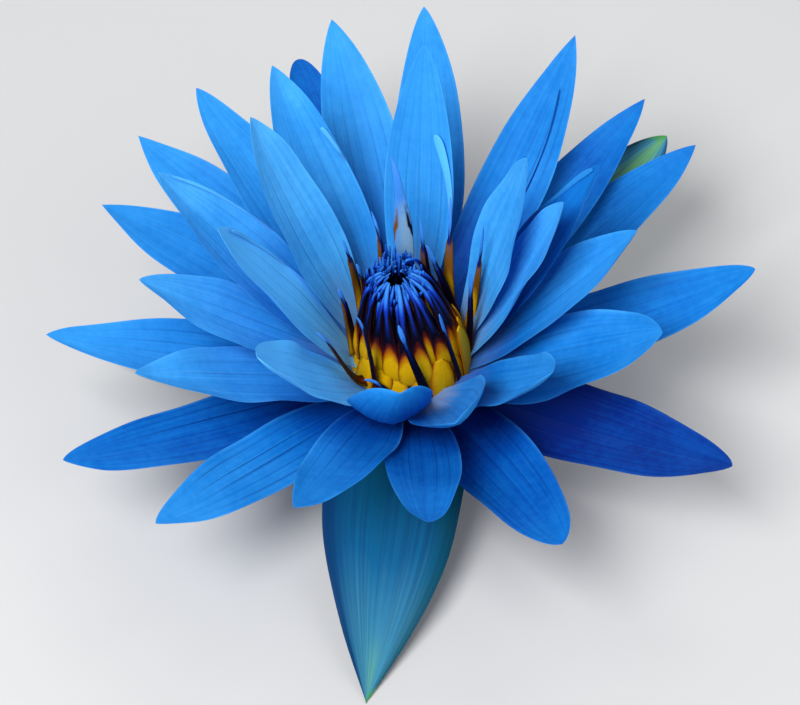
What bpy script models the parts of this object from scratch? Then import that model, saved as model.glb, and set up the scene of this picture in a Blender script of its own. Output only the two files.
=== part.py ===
"""Blue water lily flower, picked with a stub of its stalk and standing on the cut end.

Units are metres, +Z is up and -Y is the side that the flower is looked at from. Every petal and sepal
is one blade: it has its own object, whose origin is at the blade's root, and all of them hang from the
empty called bloom, which stands where the sepals meet the stalk.
"""

import math
import random
from dataclasses import dataclass

import bmesh
import bpy
import numpy as np
from mathutils import Vector

MM = 0.001

# Whole flower
STUB_LENGTH = 14.0 * MM
STALK_RADIUS = 6.0 * MM
BLOOM_OFFSET = (1.74 * MM, 1.27 * MM)

# Receptacle, measured from the bloom's origin
RECEPTACLE_RADIUS = 12.8 * MM
RECEPTACLE_TOP = 8.6 * MM
SEATING_GAP = 0.3 * MM
WELD_DISTANCE = 0.01 * MM
RECEPTACLE_STEPS = 32
SHARP_DEGREES = 40

# Blades
PETAL_THICKNESS = 0.7 * MM
SEPAL_THICKNESS = 0.9 * MM
ROOT_RADIUS = 13.6 * MM
ROOT_STEP_PER_DEGREE = 0.11 * MM
TIP_HALF_WIDTH = 0.35 * MM
TIP_CLOSING = 2.1  # power that the width falls by towards the tip
CUP_REACH = 0.45  # share of the length over which the cup grows from the root's to the blade's
ROW_CROWDING = 1.4  # above 1, rows lie closer together near the tip
MIDRIB_STEPS = 200
BLADE_ROWS = 10
BLADE_COLUMNS = 4

# Stigma disc: (radius, height) from the knob out to the rim
STIGMA_RINGS = ((1.3 * MM, 1.5 * MM), (1.8 * MM, 0.7 * MM), (4.5 * MM, 0.8 * MM), (8.2 * MM, 1.6 * MM))
STIGMA_KNOB_HEIGHT = 1.6 * MM
STIGMA_RIDGE = 0.25 * MM
STIGMA_RAYS = 18

# Inner stamens: a cone round a small crater
CONE_STAMENS = 32
CONE_HEIGHT = 20.0 * MM
CRATER_CENTRE = (-3.0 * MM, 2.6 * MM)
CONE_LEAN_POWER = 1.3
CONE_ROOT_SINK = 1.0 * MM  # of a strap's end into the collar
CONE_COLLAR = (8.7 * MM, 11.2 * MM, 1.6 * MM)  # inner radius, outer radius, height
CONE_INSET = 0.93  # radius of every second stamen, per the others'
CONE_LEVELS = (0.0, 0.3, 0.65, 0.92, 1.0)  # shares of the height, with the radius at each
CONE_RADII = (10.2 * MM, 9.9 * MM, 8.2 * MM, 6.1 * MM, 4.3 * MM)
CONE_WIDTHS = (1.0 * MM, 1.0 * MM, 0.85 * MM, 0.62 * MM, 0.45 * MM)
CONE_DEPTHS = (0.5 * MM, 0.5 * MM, 0.5 * MM, 0.45 * MM, 0.4 * MM)

# Outer stamens: a ring of upright straps
RING_STAMENS = 26
RING_ROOT_RADIUS = 12.0 * MM
RING_ROOT_SINK = 0.9 * MM
RING_COLLAR = (11.5 * MM, 12.7 * MM, 1.4 * MM)
RING_HEIGHTS = (18.0 * MM, 25.0 * MM)
RING_LEANS = (0.08, 0.2)  # outward reach of the tip, per height
RING_CURVE_POWER = 1.5
RING_JITTER = 0.15  # of a place round the ring, per the spacing
RING_STATIONS = (0.0, 0.3, 0.6, 1.0)
RING_WIDTHS = (1.25 * MM, 1.3 * MM, 0.8 * MM, 0.4 * MM)
RING_DEPTHS = (0.45 * MM, 0.4 * MM, 0.38 * MM, 0.35 * MM)
RING_SEED = 7
STRAP_SIDES = 6
COLLAR_STEPS = 36


@dataclass
class Blade:
    """A petal or a sepal. Angles are in degrees and lengths in millimetres."""

    azimuth: float  # clockwise from the back, seen from above
    rise: float  # of the midrib's chord above the bloom's plane
    length: float
    width: float
    lift: float = 0.0  # of the root above its place in the whorls
    lead: float = 0.0  # of the root clockwise from the azimuth
    bend: float = 0.0  # that the midrib turns upwards from root to tip
    sweep: float = 0.0  # that the midrib turns clockwise from root to tip
    roll: float = 0.0  # of the whole blade about its midrib
    cup: float = 0.22  # height of the edges over the midrib, per half width
    root_cup: float = 0.14
    tip: float = 0.8  # 0.5 makes a rounded tip and 1 a sharp one
    widest: float = 0.42  # share of the length where the blade is widest
    root_share: float = 0.42  # width at the root, per greatest width


OUTER_PETALS = [
    Blade(2, 31, 73, 19, lift=0.5, lead=5, cup=0.16),
    Blade(30.5, 30, 73, 15.5, lift=2.1, cup=0.16),
    Blade(44, 23, 71, 15.5, lift=0.2, tip=0.9, cup=0.16),
    Blade(54, 19, 71, 17, lift=-0.4, cup=0.14),
    Blade(87, 25, 68, 16.5, bend=8, cup=0.16),
    Blade(121, 15, 70, 19, bend=16, cup=0.12, tip=0.7),
    Blade(155, 21, 65, 16, lift=-1.4, bend=6, tip=0.55, widest=0.5, cup=0.16),
    Blade(178, 31, 64, 16.5, lift=-1.3, lead=-5, tip=0.55),
    Blade(199, 31, 66, 17, lift=0.35, lead=3, cup=0.18),
    Blade(222, 16, 67, 16, bend=14, cup=0.15),
    Blade(244, 10, 71, 16, lift=-0.3, bend=16, cup=0.12),
    Blade(262, 20, 70, 16, lift=-0.3, bend=8, cup=0.16),
    Blade(290, 23, 65, 17, lift=0.5, bend=6, cup=0.16),
    Blade(309, 17, 71, 16, lift=-0.4, cup=0.16),
    Blade(321, 22, 71, 17, lift=0.2, cup=0.16, root_share=0.3),
    Blade(341, 19, 72, 16, lift=-1.9, tip=0.5, cup=0.12),
    Blade(346, 30, 72, 18, lift=-0.5, cup=0.16, root_share=0.3),
]
MIDDLE_PETALS = [
    Blade(75, 60, 58, 15.5, lift=-0.3, bend=12, cup=0.3),
    Blade(90, 50, 55, 18, lift=-0.4, bend=12, cup=0.3),
    Blade(113, 38, 54, 19.5, lift=-0.3, bend=18, cup=0.3, tip=0.6),
    Blade(137, 47, 46, 17, lift=1.1, roll=12, bend=26, cup=0.35, tip=0.5, lead=4),
    Blade(243, 31, 59, 18.5, bend=14, cup=0.3),
    Blade(264, 36, 55, 18.5, lift=0.6, bend=12, cup=0.3),
    Blade(285, 47, 63, 17, lift=0.4, bend=12, cup=0.3),
    Blade(325, 50, 63, 17, bend=12, cup=0.3),
]
INNER_PETALS = [
    Blade(4, 60, 62, 15.5, bend=12, cup=0.3),
    Blade(69, 75, 52, 16, lift=1.5, bend=12, cup=0.3, widest=0.5),
    Blade(86, 67, 50, 15, lift=0.5, bend=12, cup=0.3, widest=0.5),
    Blade(158, 50, 47, 17, lift=1.8, roll=18, bend=44, cup=0.4, tip=0.5, lead=6, root_share=0.34),
    Blade(190, 50, 45, 19, lift=1.6, roll=14, bend=54, cup=0.4, tip=0.5, root_share=0.34),
    Blade(227, 49, 47, 17, lift=0.15, roll=-14, bend=20, cup=0.3, tip=0.55),
    Blade(265, 58, 53, 17, lift=0.8, bend=12, cup=0.3),
    Blade(302, 62, 59, 16.5, lift=1.1, bend=12, cup=0.3),
]
SEPALS = {
    "sepal_front": Blade(186, -10, 68, 31, bend=-6, cup=0.15, tip=1.15, widest=0.3),
    "sepal_right": Blade(48, 17, 71.5, 24, cup=0.1, tip=0.95, widest=0.4),
    "sepal_left": Blade(281, -6, 62, 21, bend=-6, cup=0.2, tip=0.95, widest=0.4),
    "sepal_back": Blade(350, -9, 66, 26, bend=-6, cup=0.2, tip=0.95, widest=0.4),
}
SEPAL_ROOT_HEIGHT = -1.2 * MM


def clear_scene():
    for thing in list(bpy.data.objects):
        bpy.data.objects.remove(thing)


def plain_material(name, colour, roughness):
    """A Principled material of one colour."""
    material = bpy.data.materials.new(name)
    material.use_nodes = True
    shader = material.node_tree.nodes["Principled BSDF"]
    shader.inputs["Base Color"].default_value = (*colour, 1.0)
    shader.inputs["Roughness"].default_value = roughness
    shader.inputs["Metallic"].default_value = 0.0
    material.diffuse_color = (*colour, 1.0)
    return material


def outer_petal_material():
    return plain_material("outer petal", (0.03, 0.17, 0.68), 0.5)


def middle_petal_material():
    return plain_material("middle petal", (0.05, 0.24, 0.78), 0.5)


def inner_petal_material():
    return plain_material("inner petal", (0.09, 0.32, 0.82), 0.5)


def sepal_material():
    return plain_material("sepal", (0.03, 0.22, 0.33), 0.55)


def stalk_material():
    return plain_material("stalk", (0.14, 0.2, 0.06), 0.5)


def stigma_material():
    return plain_material("stigma", (0.75, 0.5, 0.05), 0.6)


def inner_stamen_material():
    return plain_material("inner stamen", (0.04, 0.02, 0.2), 0.55)


def outer_stamen_material():
    return plain_material("outer stamen", (0.8, 0.42, 0.01), 0.55)


def new_object(name, mesh, material, parent):
    """An object with one material, hung from its parent."""
    thing = bpy.data.objects.new(name, mesh)
    mesh.materials.append(material)
    bpy.context.scene.collection.objects.link(thing)
    thing.parent = parent
    return thing


def bloom_empty():
    """The empty that stands where the sepals meet the stalk."""
    bloom = bpy.data.objects.new("bloom", None)
    bloom.empty_display_size = 20 * MM
    bloom.location = (*BLOOM_OFFSET, STUB_LENGTH)
    bpy.context.scene.collection.objects.link(bloom)
    return bloom


def half_width(blade, s):
    """Half the blade's width at s: a quarter sine up to the widest place, then a superellipse to the tip."""
    swell = np.sin(0.5 * math.pi * np.minimum(s / blade.widest, 1.0))
    grown = blade.root_share + (1.0 - blade.root_share) * swell
    towards_tip = np.clip((s - blade.widest) / (1.0 - blade.widest), 0.0, 1.0)
    closed = (1.0 - towards_tip**TIP_CLOSING) ** blade.tip
    return np.maximum(0.5 * blade.width * MM * grown * closed, TIP_HALF_WIDTH)


def midrib(blade, s):
    """Points and directions of the midrib, which leaves the root along +Y and turns by bend and sweep."""
    fine = np.linspace(0.0, 1.0, MIDRIB_STEPS + 1)
    slope = np.radians(blade.bend * (fine - 0.5))
    heading = np.radians(blade.sweep * (fine - 0.5))
    along = np.stack([np.cos(slope) * np.sin(heading), np.cos(slope) * np.cos(heading), np.sin(slope)], 1)
    steps = 0.5 * (along[1:] + along[:-1]) * blade.length * MM / MIDRIB_STEPS
    line = np.concatenate([[[0.0, 0.0, 0.0]], np.cumsum(steps, axis=0)])
    points = np.stack([np.interp(s, fine, line[:, axis]) for axis in range(3)], 1)
    directions = np.stack([np.interp(s, fine, along[:, axis]) for axis in range(3)], 1)
    return points, directions, np.interp(s, fine, heading)


def blade_points(blade, rows, columns):
    """Grid of the blade's middle surface in its own frame: root at the origin, inner face up."""
    s = 1.0 - (1.0 - np.linspace(0.0, 1.0, rows + 1)) ** ROW_CROWDING
    points, directions, heading = midrib(blade, s)
    side = np.stack([np.cos(heading), -np.sin(heading), np.zeros_like(heading)], 1)
    up = np.cross(side, directions)
    across = np.linspace(-1.0, 1.0, columns + 1)[None, :, None]
    half = half_width(blade, s)[:, None, None]
    cup = blade.root_cup + (blade.cup - blade.root_cup) * np.clip(s / CUP_REACH, 0.0, 1.0)
    height = half * cup[:, None, None] * across**2
    return points[:, None] + side[:, None] * half * across + up[:, None] * height


def blade_mesh(name, blade):
    """The middle surface as triangles, all split the same way."""
    grid = blade_points(blade, BLADE_ROWS, BLADE_COLUMNS)
    wide = BLADE_COLUMNS + 1
    faces = []
    for row in range(BLADE_ROWS):
        for column in range(BLADE_COLUMNS):
            corner = row * wide + column
            faces.append((corner, corner + 1, corner + wide + 1))
            faces.append((corner, corner + wide + 1, corner + wide))
    mesh = bpy.data.meshes.new(name)
    mesh.from_pydata(grid.reshape(-1, 3).tolist(), [], faces)
    mesh.shade_smooth()
    return mesh


def add_blade(name, blade, root_height, thickness, material, bloom):
    """One petal or sepal: its mesh given a thickness and set at its root on the receptacle's side."""
    thing = new_object(name, blade_mesh(name, blade), material, bloom)
    root = math.radians(blade.azimuth + blade.lead)
    thing.location = (ROOT_RADIUS * math.sin(root), ROOT_RADIUS * math.cos(root), root_height)
    thing.rotation_mode = "YXZ"
    thing.rotation_euler = (math.radians(blade.rise), math.radians(blade.roll), -math.radians(blade.azimuth))
    solidify = thing.modifiers.new("thickness", "SOLIDIFY")
    solidify.thickness = thickness
    solidify.offset = 0.0
    solidify.use_even_offset = True
    return thing


def add_petals(whorl, blades, material, bloom):
    """A whorl of petals. The steeper a petal stands, the higher its root sits on the receptacle."""
    for number, blade in enumerate(blades, start=1):
        height = ROOT_STEP_PER_DEGREE * blade.rise + blade.lift * MM
        add_blade(f"petal_{whorl}_{number:02d}", blade, height, PETAL_THICKNESS, material, bloom)


def add_sepals(material, bloom):
    for name, blade in SEPALS.items():
        add_blade(name, blade, SEPAL_ROOT_HEIGHT + blade.lift * MM, SEPAL_THICKNESS, material, bloom)


def turn(shape, line, steps):
    """Spins a line once round Z and closes the seam."""
    bmesh.ops.spin(shape, geom=line, axis=(0, 0, 1), cent=(0, 0, 0), steps=steps, angle=2 * math.pi)
    bmesh.ops.remove_doubles(shape, verts=shape.verts, dist=WELD_DISTANCE)
    bmesh.ops.recalc_face_normals(shape, faces=shape.faces)


def turned_mesh(name, profile, steps):
    """A closed solid of revolution about Z from (radius, height) pairs that start and end on the axis."""
    shape = bmesh.new()
    line = [shape.verts.new((radius, 0.0, height)) for radius, height in profile]
    edges = [shape.edges.new(pair) for pair in zip(line[:-1], line[1:])]
    turn(shape, line + edges, steps)
    mesh = bpy.data.meshes.new(name)
    shape.to_mesh(mesh)
    shape.free()
    mesh.shade_smooth()
    mesh.set_sharp_from_angle(angle=math.radians(SHARP_DEGREES))
    return mesh


def add_stalk_and_receptacle(material, bloom):
    """The stub of stalk, cut flat, widening to the drum that the blades grow from."""
    profile = [
        (0.0, -STUB_LENGTH),
        (STALK_RADIUS, -STUB_LENGTH),
        (STALK_RADIUS, -6.0 * MM),
        (7.5 * MM, -4.4 * MM),
        (11.0 * MM, -3.0 * MM),
        (RECEPTACLE_RADIUS, -1.8 * MM),
        (RECEPTACLE_RADIUS, RECEPTACLE_TOP - 0.4 * MM),
        (RECEPTACLE_RADIUS - 0.4 * MM, RECEPTACLE_TOP),
        (0.0, RECEPTACLE_TOP),
    ]
    mesh = turned_mesh("stalk", profile, RECEPTACLE_STEPS)
    return new_object("stalk_and_receptacle", mesh, material, bloom)


def add_stigma_disc(material, bloom):
    """The shallow dish of rays at the heart of the flower, with a small knob in its middle."""
    bottom = RECEPTACLE_TOP + SEATING_GAP
    shape = bmesh.new()
    top = []
    for radius, height in STIGMA_RINGS:
        ring = []
        for step in range(2 * STIGMA_RAYS):
            angle = math.pi * step / STIGMA_RAYS
            ridge = STIGMA_RIDGE if step % 2 == 0 and radius > STIGMA_RINGS[0][0] else 0.0
            place = (radius * math.sin(angle), radius * math.cos(angle), bottom + height + ridge)
            ring.append(shape.verts.new(place))
        top.append(ring)
    base = [shape.verts.new((vert.co.x, vert.co.y, bottom)) for vert in top[-1]]
    crown = shape.verts.new((0.0, 0.0, bottom + STIGMA_KNOB_HEIGHT))
    floor = shape.verts.new((0.0, 0.0, bottom))
    count = 2 * STIGMA_RAYS
    for step in range(count):
        after = (step + 1) % count
        shape.faces.new((crown, top[0][after], top[0][step]))
        shape.faces.new((floor, base[step], base[after]))
        for inner, outer in zip(top, top[1:] + [base]):
            shape.faces.new((inner[step], inner[after], outer[after], outer[step]))
    bmesh.ops.recalc_face_normals(shape, faces=shape.faces)
    bmesh.ops.triangulate(shape, faces=shape.faces)
    mesh = bpy.data.meshes.new("stigma")
    shape.to_mesh(mesh)
    shape.free()
    return new_object("stigma_disc", mesh, material, bloom)


def strap_mesh(name, path, widths, depths):
    """A tapering strap along a path; its flat side faces the flower's axis."""
    shape = bmesh.new()
    loops = []
    for index, point in enumerate(path):
        before = path[max(index - 1, 0)]
        after = path[min(index + 1, len(path) - 1)]
        along = (after - before).normalized()
        outward = Vector((path[0].x, path[0].y, 0.0)).normalized()
        side = along.cross(outward).normalized()
        face = side.cross(along).normalized()
        loop = []
        for corner in range(STRAP_SIDES):
            angle = 2 * math.pi * corner / STRAP_SIDES
            reach = side * (widths[index] * math.cos(angle)) + face * (depths[index] * math.sin(angle))
            loop.append(shape.verts.new(point + reach))
        loops.append(loop)
    shape.faces.new(loops[0])
    shape.faces.new(loops[-1])
    for lower, upper in zip(loops[:-1], loops[1:]):
        for corner in range(STRAP_SIDES):
            after = (corner + 1) % STRAP_SIDES
            shape.faces.new((lower[corner], lower[after], upper[after], upper[corner]))
    bmesh.ops.recalc_face_normals(shape, faces=shape.faces)
    bmesh.ops.triangulate(shape, faces=shape.faces)
    mesh = bpy.data.meshes.new(name)
    shape.to_mesh(mesh)
    shape.free()
    return mesh


def collar_mesh(name, inner, outer, bottom, height):
    """The low ring that a group of stamens grows from."""
    shape = bmesh.new()
    corners = [(inner, bottom), (outer, bottom), (outer, bottom + height), (inner, bottom + height)]
    line = [shape.verts.new((radius, 0.0, height)) for radius, height in corners]
    edges = [shape.edges.new((line[index], line[(index + 1) % 4])) for index in range(4)]
    turn(shape, line + edges, COLLAR_STEPS)
    mesh = bpy.data.meshes.new(name)
    shape.to_mesh(mesh)
    shape.free()
    return mesh


def fuse(base, meshes):
    """Joins loose meshes to the base object with one union, then removes them."""
    group = bpy.data.collections.new(base.name + " repeats")
    bpy.context.scene.collection.children.link(group)
    for mesh in meshes:
        piece = bpy.data.objects.new(mesh.name, mesh)
        piece.parent = base.parent
        group.objects.link(piece)
    union = base.modifiers.new("join", "BOOLEAN")
    union.operation = "UNION"
    union.operand_type = "COLLECTION"
    union.collection = group
    union.solver = "EXACT"
    bpy.context.view_layer.update()
    joined = bpy.data.meshes.new_from_object(base.evaluated_get(bpy.context.evaluated_depsgraph_get()))
    base.modifiers.clear()
    base.data = joined
    for piece in list(group.objects):
        bpy.data.objects.remove(piece)
    bpy.data.collections.remove(group)


def cone_path(angle, shrink, root_height):
    """Centre line of one inner stamen, from its root to the crater's rim and curled over it."""
    outward = Vector((math.sin(angle), math.cos(angle), 0.0))
    lean = Vector((*CRATER_CENTRE, 0.0))
    path = []
    for share, radius in zip(CONE_LEVELS, CONE_RADII):
        rise = Vector((0.0, 0.0, root_height + CONE_HEIGHT * share))
        path.append(outward * radius * shrink + lean * share**CONE_LEAN_POWER + rise)
    return path


def add_inner_stamens(material, bloom):
    """The cone of stamens round the crater, fused to one collar."""
    bottom = RECEPTACLE_TOP + SEATING_GAP
    inner, outer, height = CONE_COLLAR
    collar = collar_mesh("inner collar", inner, outer, bottom, height)
    base = new_object("stamens_inner", collar, material, bloom)
    straps = []
    for number in range(CONE_STAMENS):
        angle = 2 * math.pi * number / CONE_STAMENS
        shrink = CONE_INSET if number % 2 else 1.0
        path = cone_path(angle, shrink, bottom + height - CONE_ROOT_SINK)
        straps.append(strap_mesh(f"inner stamen {number}", path, CONE_WIDTHS, CONE_DEPTHS))
    fuse(base, straps)


def ring_path(angle, height, lean, root_height):
    """Centre line of one outer stamen, which curves a little outwards."""
    outward = Vector((math.sin(angle), math.cos(angle), 0.0))
    path = []
    for share in RING_STATIONS:
        radius = RING_ROOT_RADIUS + lean * height * share**RING_CURVE_POWER
        path.append(outward * radius + Vector((0.0, 0.0, root_height + height * share)))
    return path


def add_outer_stamens(material, bloom):
    """The ring of upright stamens, each drawn with its own height and lean, fused to one collar."""
    draw = random.Random(RING_SEED)
    bottom = RECEPTACLE_TOP + SEATING_GAP
    inner, outer, collar_height = RING_COLLAR
    collar = collar_mesh("outer collar", inner, outer, bottom, collar_height)
    base = new_object("stamens_outer", collar, material, bloom)
    straps = []
    for number in range(RING_STAMENS):
        angle = 2 * math.pi * (number + draw.uniform(-RING_JITTER, RING_JITTER)) / RING_STAMENS
        height = draw.uniform(*RING_HEIGHTS)
        path = ring_path(angle, height, draw.uniform(*RING_LEANS), bottom + collar_height - RING_ROOT_SINK)
        straps.append(strap_mesh(f"outer stamen {number}", path, RING_WIDTHS, RING_DEPTHS))
    fuse(base, straps)


def main():
    clear_scene()
    bloom = bloom_empty()
    add_stalk_and_receptacle(stalk_material(), bloom)
    add_sepals(sepal_material(), bloom)
    add_petals("outer", OUTER_PETALS, outer_petal_material(), bloom)
    add_petals("middle", MIDDLE_PETALS, middle_petal_material(), bloom)
    add_petals("inner", INNER_PETALS, inner_petal_material(), bloom)
    add_stigma_disc(stigma_material(), bloom)
    add_inner_stamens(inner_stamen_material(), bloom)
    add_outer_stamens(outer_stamen_material(), bloom)


if __name__ == "__main__":
    main()
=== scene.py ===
"""Blue water lily flower: the fine petals, sepals, stamens and stalk, their finishes and the stage.

It runs as a script in Blender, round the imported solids. Lengths are metres unless a name or a comment says
millimetres, +Z is up and -Y is the side that the flower is looked at from.
"""

import math
from dataclasses import astuple, dataclass

import bpy
import numpy as np
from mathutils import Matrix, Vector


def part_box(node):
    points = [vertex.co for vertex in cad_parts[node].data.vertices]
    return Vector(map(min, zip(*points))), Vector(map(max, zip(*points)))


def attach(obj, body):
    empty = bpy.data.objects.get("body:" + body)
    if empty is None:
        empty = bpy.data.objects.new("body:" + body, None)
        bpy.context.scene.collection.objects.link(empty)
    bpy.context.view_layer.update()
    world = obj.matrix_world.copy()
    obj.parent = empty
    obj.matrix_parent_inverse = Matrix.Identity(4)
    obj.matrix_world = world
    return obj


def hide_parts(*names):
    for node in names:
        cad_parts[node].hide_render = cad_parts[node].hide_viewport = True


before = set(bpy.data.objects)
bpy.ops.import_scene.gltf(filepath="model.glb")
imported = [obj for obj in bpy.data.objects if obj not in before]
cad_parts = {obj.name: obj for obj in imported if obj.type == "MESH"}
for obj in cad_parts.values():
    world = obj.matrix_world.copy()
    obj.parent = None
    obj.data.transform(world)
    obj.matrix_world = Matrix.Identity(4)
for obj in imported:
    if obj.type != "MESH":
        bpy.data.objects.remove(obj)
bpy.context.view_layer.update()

bl_info = {
    "name": "Blue water lily flower",
    "version": (1, 0, 0),
    "blender": (4, 5, 0),
    "location": "3D View > Sidebar > Water lily",
    "description": "Builds the fine petals, sepals, stamens, stalk and stage of a blue water lily",
    "category": "Object",
}

MM = 0.001

# Stalk and receptacle
STUB_LENGTH = 14.0 * MM
RECEPTACLE_TOP = 8.6 * MM  # above the bloom's plane

# Blades
ROOT_RADIUS = 13.6 * MM
ROOT_STEP_PER_DEGREE = 0.11 * MM
SEPAL_ROOT_HEIGHT = -1.2 * MM
FOOT_STEPS = np.array([[1.8], [1.2], [0.6]]) * MM  # from the root into the receptacle
FOOT_SLOPE = 0.3  # downwards, per step inwards
BLADE_ROWS, BLADE_AROUND = 72, 48
MIDRIB_STEPS = 400
ROW_CROWDING = 1.4  # above 1, rows lie closer together near the tip
TIP_CLOSING = 2.1  # power that the width falls by towards the tip
TIP_THINNING = 0.45  # share of the thickness that is lost at the tip
LEAST_HALF_WIDTH = 0.12 * MM
CUP_REACH = 0.45  # share of the length over which the cup grows from the root's to the blade's
SECTION_POWER = 0.7  # below 1, a section is fuller near its edges than an ellipse
GROOVE_WIDTH = 0.13  # of the groove on the midrib, per half width
PLEATS = 3.5  # waves from the midrib to an edge
RIPPLES = (1.6, 3.1)  # long and short waves along an edge
UPTURN, UPTURN_START = 0.5 * MM, 0.85  # height of the upturned tip, and where along the blade it starts

# Veins and lines across a blade
MAIN_VEINS, FINE_VEINS, SEPAL_LINES = 6.0, 27.0, 13.0

# Stamens
STRAP_AROUND = 12
CONE_ROWS, RING_ROWS = 26, 30
CONE_HEIGHT = 20.5 * MM
CONE_LAYERS = [  # count, and the radius, height and girth per the outermost layer's
    (18, 1.0, 1.0, 1.0),
    (21, 0.9, 0.99, 0.9),
    (18, 0.76, 0.95, 0.8),
]
CRATER_LEAN = np.array([-3.0, 2.6, 0.0]) * MM
CRATER_TIPS = 110
ROOT_SCALES = 17

# Stage
LIT_POINT = np.array([0.0, 0.0, 0.03])

STALK_LOW, STALK_HIGH = (np.array(corner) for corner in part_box("stalk_and_receptacle"))
BLOOM = np.array([*(0.5 * (STALK_LOW + STALK_HIGH))[:2], STALK_LOW[2] + STUB_LENGTH])


@dataclass
class Blade:
    """A petal or a sepal. Angles are in degrees and lengths in millimetres."""

    azimuth: float  # clockwise from the back, seen from above
    rise: float  # of the midrib's chord above the bloom's plane
    length: float
    width: float
    lift: float = 0.0  # of the root above its place in the whorls
    lead: float = 0.0  # of the root clockwise from the azimuth
    bend: float = 0.0  # that the midrib turns upwards from root to tip
    sweep: float = 0.0  # that the midrib turns clockwise from root to tip
    roll: float = 0.0  # of the whole blade about its midrib
    cup: float = 0.22  # height of the edges over the midrib, per half width
    root_cup: float = 0.14  # the same at the root
    tip: float = 0.8  # 0.5 makes a rounded tip and 1 a sharp one
    widest: float = 0.42  # share of the length where the blade is widest
    root_share: float = 0.42  # width at the root, per greatest width
    ripple: float = 1.0  # how strongly the edges wave
    # Painted light and shade: besides the petal's own colour, this sets each petal lighter or darker for how
    # light falls on it and for the shade its neighbours cast.
    tone: float = 0.6  # 0 makes the deepest blue and 1 the lightest
    veins: float = 0.35  # strength of the dark veins
    pale: float = 0.0  # strength of the grey lilac at a petal's root, or of a sepal's pale stripe
    crease: float = 0.25  # depth of the groove along the midrib, in millimetres


OUTER_PETALS = [
    Blade(
        1.4, 30.9, 73.4, 16.8, lift=0.5, lead=6, bend=2, sweep=-11, roll=5, cup=0.13, widest=0.45,
        tone=0.62, pale=0.3,
    ),
    Blade(
        30.1, 30.5, 72.7, 16, lift=2.1, lead=0.4, bend=3, sweep=-11, roll=6, cup=0.17, tip=0.92,
        widest=0.45, root_share=0.48, tone=0.5, veins=0.5, crease=0.7,
    ),
    Blade(43.8, 22.9, 71, 15.9, lift=0.2, bend=3, sweep=-1, roll=4, cup=0.16, tip=0.88, tone=0.35),
    Blade(54.2, 18.4, 71.9, 17.4, lift=-0.4, bend=3, sweep=-2, roll=2, cup=0.15, tip=0.83, tone=0.4),
    Blade(
        87.4, 24.6, 68.7, 18, lead=0.9, bend=9, sweep=-7, roll=11, cup=0.11, tip=0.68, tone=0.42,
        veins=0.5,
    ),
    Blade(
        121.7, 13.8, 68.4, 21.5, lead=-4.6, bend=7, sweep=-3, roll=7, cup=0.13, tip=0.65, widest=0.29,
        root_share=0.82, tone=0.06, veins=0.9,
    ),
    Blade(
        154.9, 19.6, 61.5, 18.7, lift=-1.3, lead=-5, bend=-1, sweep=5, roll=10, cup=0.18, tip=0.53,
        widest=0.35, root_share=0.77, tone=0.3, veins=0.7,
    ),
    Blade(178, 31, 64, 16.5, lift=-1.9, lead=-5, tip=0.55, tone=0.35, veins=0.6),
    Blade(
        198.9, 30.1, 66.6, 16, lift=0.9, lead=2.7, bend=2, sweep=9, cup=0.17, tip=0.84, tone=0.45,
        veins=0.5,
    ),
    Blade(
        223.5, 14.5, 66.4, 16.6, lead=-0.7, bend=7, sweep=1, roll=-7, cup=0.15, tip=0.72, widest=0.39,
        root_share=0.37, tone=0.55, veins=0.8,
    ),
    Blade(
        242.6, 12.4, 72.1, 17.5, lift=-0.3, lead=0.3, bend=15, sweep=-2, roll=-4, cup=0.09, tip=0.7,
        widest=0.33, root_share=0.53, tone=0.36, veins=0.9,
    ),
    Blade(
        261.5, 20.2, 71, 16.7, lift=-0.3, lead=0.9, bend=8, sweep=-2, roll=-9, cup=0.21, root_share=0.48,
        tone=0.59, veins=0.5,
    ),
    Blade(
        288.9, 23.8, 65.5, 19, lift=0.5, lead=1.1, bend=1, sweep=-9, roll=-4, cup=0.16, tip=0.89,
        tone=0.56,
    ),
    Blade(
        309.7, 16.9, 72.1, 18.6, lift=-0.4, lead=0.3, bend=6, sweep=-1, roll=-5, cup=0.13, tip=0.92,
        widest=0.47, root_share=0.34, tone=0.62,
    ),
    Blade(321, 22, 71, 17, lift=0.2, cup=0.16, root_share=0.3, tone=0.6),
    Blade(341, 19, 72, 16, lift=-1.9, tip=0.5, cup=0.12, tone=0.28),
    Blade(
        345.9, 31.7, 72.1, 18.4, lift=-0.5, lead=0.2, bend=2, sweep=-4, roll=-4, cup=0.16, tip=0.84,
        widest=0.44, root_share=0.25, tone=0.65,
    ),
]
MIDDLE_PETALS = [
    Blade(75, 60, 58, 15.5, lift=-0.3, bend=12, cup=0.3, pale=0.3, tone=0.42),
    Blade(90, 50, 55, 18, lift=-0.4, bend=12, cup=0.3, tone=0.65, pale=0.3),
    Blade(
        110.4, 37.4, 55.5, 22.3, lift=-0.3, lead=1.4, bend=18, sweep=-4, roll=11, cup=0.3, tip=0.66,
        widest=0.49, tone=0.57, pale=0.3,
    ),
    Blade(137, 47, 46, 17, lift=1.1, roll=12, bend=26, cup=0.35, tip=0.5, lead=4, pale=0.3, tone=0.6),
    Blade(243.7, 30.7, 60.2, 19, lead=-0.4, bend=13, sweep=-4, roll=4, cup=0.31, tone=0.8, pale=0.3),
    Blade(
        264, 36.4, 56.6, 18, lift=0.6, lead=0.5, bend=12, sweep=-2, roll=-1, cup=0.31, tip=0.75, tone=0.8,
        pale=0.5,
    ),
    Blade(
        283.9, 46.6, 63.1, 17.7, lift=0.4, lead=-0.5, bend=13, sweep=-1, roll=-6, cup=0.31,
        root_share=0.44, tone=0.8, pale=0.4,
    ),
    Blade(325, 50, 63, 17, bend=12, cup=0.3, pale=0.4, tone=0.75),
]
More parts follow.
